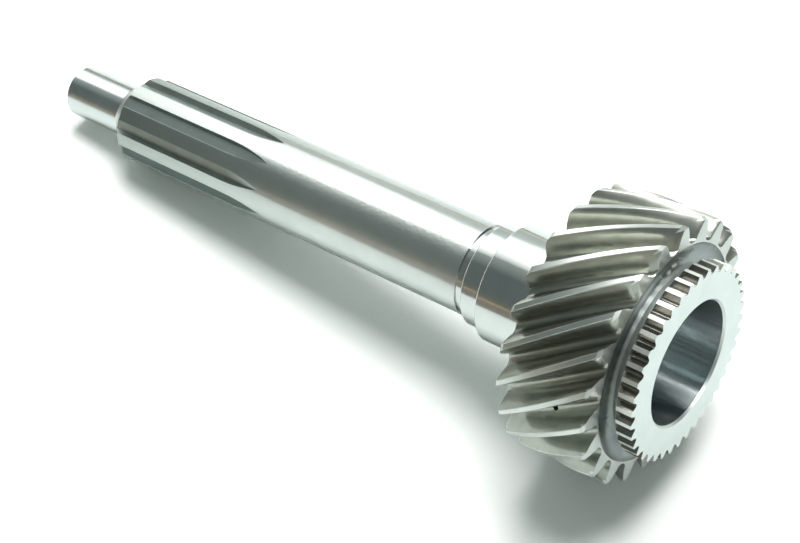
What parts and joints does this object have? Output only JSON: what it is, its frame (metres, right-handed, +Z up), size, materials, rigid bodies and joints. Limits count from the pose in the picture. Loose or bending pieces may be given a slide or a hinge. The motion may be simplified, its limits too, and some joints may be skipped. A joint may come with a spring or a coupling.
{
  "type": "transmission input shaft",
  "caption": "One-piece steel gearbox input shaft: splined drive end with pilot, ground bearing journal, helical gear and clutch-tooth ring around a blind pocket bore.",
  "frame": {"origin": "centre of the bounding box's bottom, on the surface that the shaft lies on", "axes": "+Z up; +X along the floor from the pilot towards the gear and clutch teeth; +Y to the left of +X seen from above"},
  "size_m": [0.2384, 0.0798, 0.0825],
  "materials": {
    "shaft_steel": "satin machined, ground seats"
  },
  "bodies": {
    "root": {"input_shaft": "shaft_steel"}
  },
  "joints": []
}
